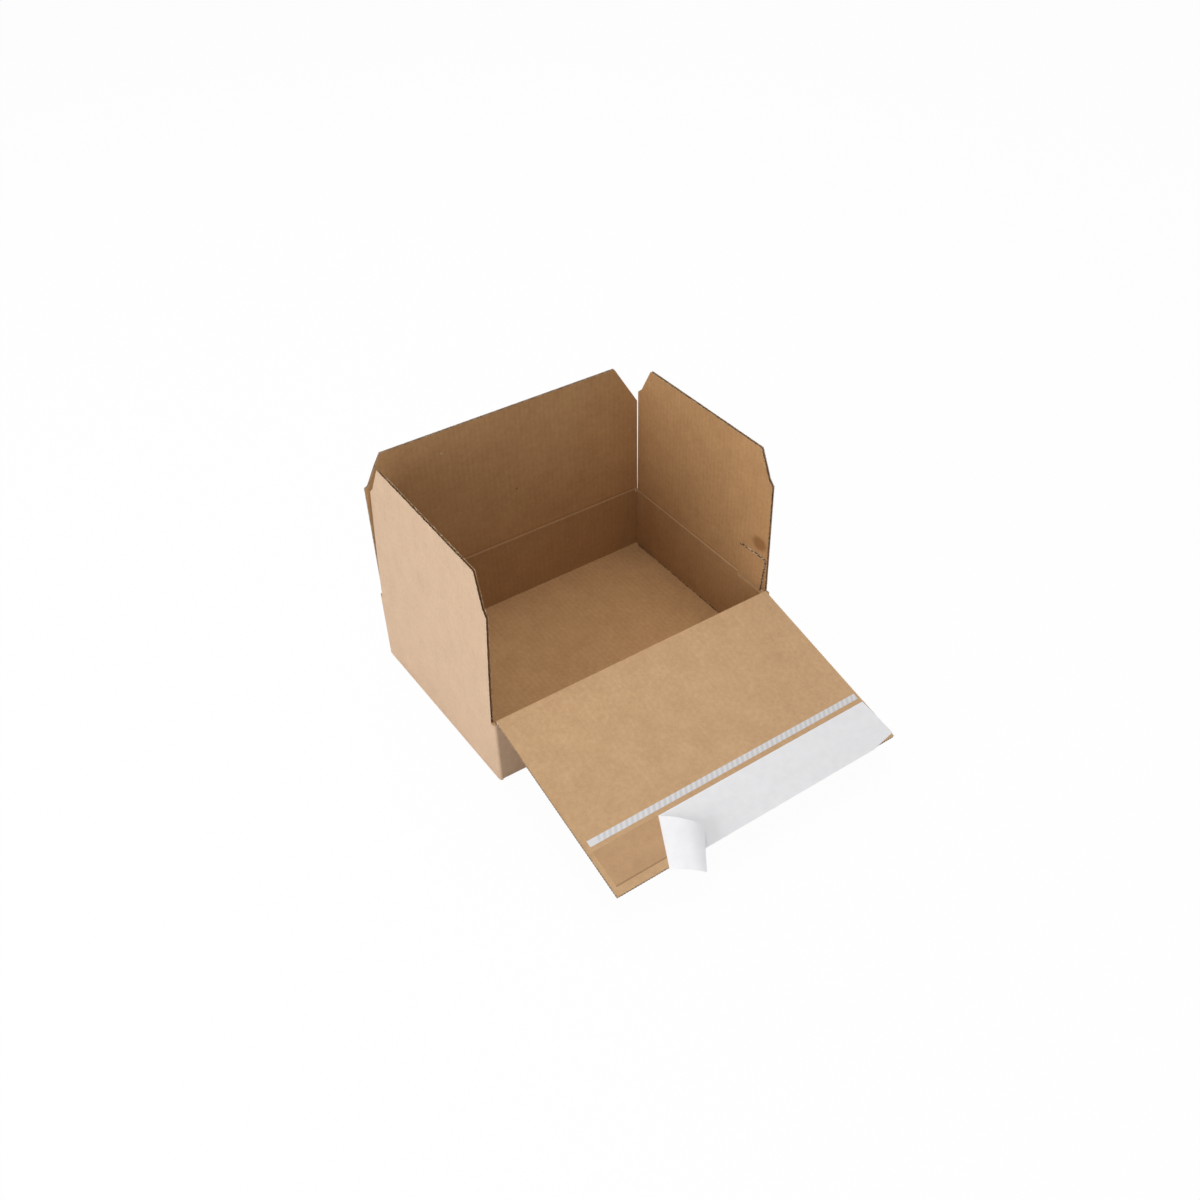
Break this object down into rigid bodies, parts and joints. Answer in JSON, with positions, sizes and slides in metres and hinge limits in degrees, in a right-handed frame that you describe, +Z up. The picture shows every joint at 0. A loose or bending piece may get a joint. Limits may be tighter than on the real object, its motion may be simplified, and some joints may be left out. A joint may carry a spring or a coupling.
{
  "type": "mailer box",
  "caption": "Open corrugated mailer box with side flaps, a rear flap and a long front lid that has a tear strip and a peel-and-seal strip.",
  "frame": {"origin": "centre of the box's bottom, on its underside", "axes": "+X along the front wall to the right, +Y from the front wall to the rear wall, +Z up"},
  "size_m": [0.3563, 0.4873, 0.2635],
  "materials": {
    "box_body": "kraft corrugated board, matt",
    "left_flap": "kraft corrugated board, matt",
    "right_flap": "kraft corrugated board, matt",
    "rear_flap": "kraft corrugated board, matt",
    "lid_flap": "kraft corrugated board, matt",
    "tear_strip": "pale tape under the board's face",
    "adhesive_strip": "clear pressure-sensitive adhesive film over kraft",
    "release_liner": "smooth white silicone-coated paper"
  },
  "bodies": {
    "base": {"box_body": "box_body"},
    "left_side_flap": {"left_flap": "left_flap"},
    "right_side_flap": {"right_flap": "right_flap"},
    "rear_end_flap": {"rear_flap": "rear_flap"},
    "lid": {"lid_flap": "lid_flap", "tear_strip": "tear_strip", "adhesive_strip": "adhesive_strip", "release_liner": "release_liner"}
  },
  "joints": [
    {"name": "left_flap_fold", "type": "hinge", "parent": "base", "child": "left_side_flap", "pos_m": [-0.17505, 0, 0.0884], "axis": [0, 1, 0], "range_deg": [-118, 90]},
    {"name": "right_flap_fold", "type": "hinge", "parent": "base", "child": "right_side_flap", "pos_m": [0.17505, 0, 0.0884], "axis": [0, -1, 0], "range_deg": [-116.9, 91.1]},
    {"name": "rear_flap_fold", "type": "hinge", "parent": "base", "child": "rear_end_flap", "pos_m": [0, 0.12355, 0.0915], "axis": [1, 0, 0], "range_deg": [-117.3, 90.7]},
    {"name": "lid_fold", "type": "hinge", "parent": "base", "child": "lid", "pos_m": [0, -0.12355, 0.0915], "axis": [-1, 0, 0], "range_deg": [-8, 191.5], "deforming": ["release_liner"]}
  ]
}
